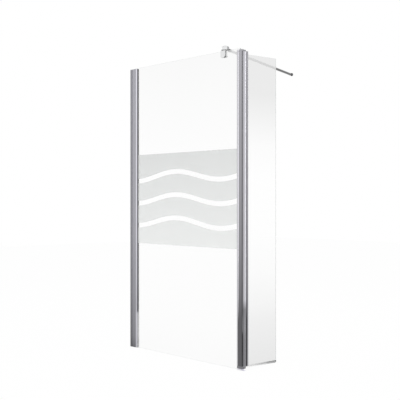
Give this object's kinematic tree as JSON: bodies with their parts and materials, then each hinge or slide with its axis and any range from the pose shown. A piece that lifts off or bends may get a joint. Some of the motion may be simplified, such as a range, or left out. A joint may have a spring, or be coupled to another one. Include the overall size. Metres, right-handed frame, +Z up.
{
  "type": "walk-in shower screen with hinged return panel",
  "caption": "Walk-in shower screen: a fixed glass panel in a wall profile, a hinged glass return panel on a column and a round stabiliser bar.",
  "frame": {"origin": "on the hinge column's turning axis, at the underside of the bottom pivot bracket's foot plate, which stands on the tray", "axes": "+Z up along the turning axis; -X along the fixed panel to the wall; +Y into the shower, along the return panel at rest"},
  "size_m": [1.197, 1.169, 2.0381],
  "materials": {
    "aluminium": "bright satin anodised",
    "chrome": "polished",
    "steel": "plain stainless",
    "glass": "clear toughened glass, frosted privacy band on the large panel",
    "rubber": "matt black",
    "plastic": "grey",
    "clear_seal": "clear soft PVC"
  },
  "bodies": {
    "fixed_screen": {"wall_channel": "aluminium", "wall_profile": "aluminium", "wall_profile_cap": "chrome", "side_screw_1": "steel", "side_screw_2": "steel", "side_screw_3": "steel", "side_screw_cover_1": "plastic", "side_screw_cover_2": "plastic", "side_screw_cover_3": "plastic", "main_glass": "glass", "wall_gasket_outer": "rubber", "wall_gasket_inner": "rubber", "setting_block_wall": "plastic", "setting_block_corner": "plastic", "corner_profile": "aluminium", "corner_gasket_outer": "rubber", "corner_gasket_inner": "rubber", "column_seal_outer": "rubber", "column_seal_inner": "rubber", "pivot_bracket_top": "chrome", "pivot_bracket_bottom": "chrome", "bracket_screw_top_1": "steel", "bracket_screw_top_2": "steel", "bracket_screw_bottom_1": "steel", "bracket_screw_bottom_2": "steel", "pivot_pin_top": "steel", "pivot_pin_bottom": "steel", "clamp_saddle": "chrome", "clamp_pad_outer": "rubber", "clamp_pad_inner": "rubber", "clamp_pressure_plate": "steel", "clamp_grub_screw_1": "steel", "clamp_grub_screw_2": "steel", "clamp_swivel_stud": "steel"},
    "return_panel": {"return_profile": "aluminium", "return_cap_top": "chrome", "return_cap_bottom": "chrome", "pivot_bush_top": "plastic", "pivot_bush_bottom": "plastic", "return_glass": "glass", "return_gasket_outer": "rubber", "return_gasket_inner": "rubber", "return_drip_seal": "clear_seal"},
    "stabiliser": {"bar_hub": "chrome", "hub_cap": "chrome", "stabiliser_bar": "chrome", "hub_set_screw": "steel", "fork_set_screw": "steel", "bar_end_fork": "chrome", "bar_swivel_pin": "steel"},
    "wall_fitting": {"wall_rosette": "chrome"}
  },
  "joints": [
    {"name": "return_hinge", "type": "hinge", "parent": "fixed_screen", "child": "return_panel", "pos_m": [0, 0, 1], "axis": [0, 0, 1], "range_deg": [-180, 0]},
    {"name": "bar_swivel", "type": "hinge", "parent": "fixed_screen", "child": "stabiliser", "pos_m": [-0.19, 0.0111, 2.0173], "axis": [0, 0, 1], "range_deg": [-65, 25]},
    {"name": "rosette_swivel", "type": "hinge", "parent": "stabiliser", "child": "wall_fitting", "pos_m": [-0.69645, 1.138, 2.0173], "axis": [0, 0, 1], "range_deg": [-25, 65]}
  ]
}
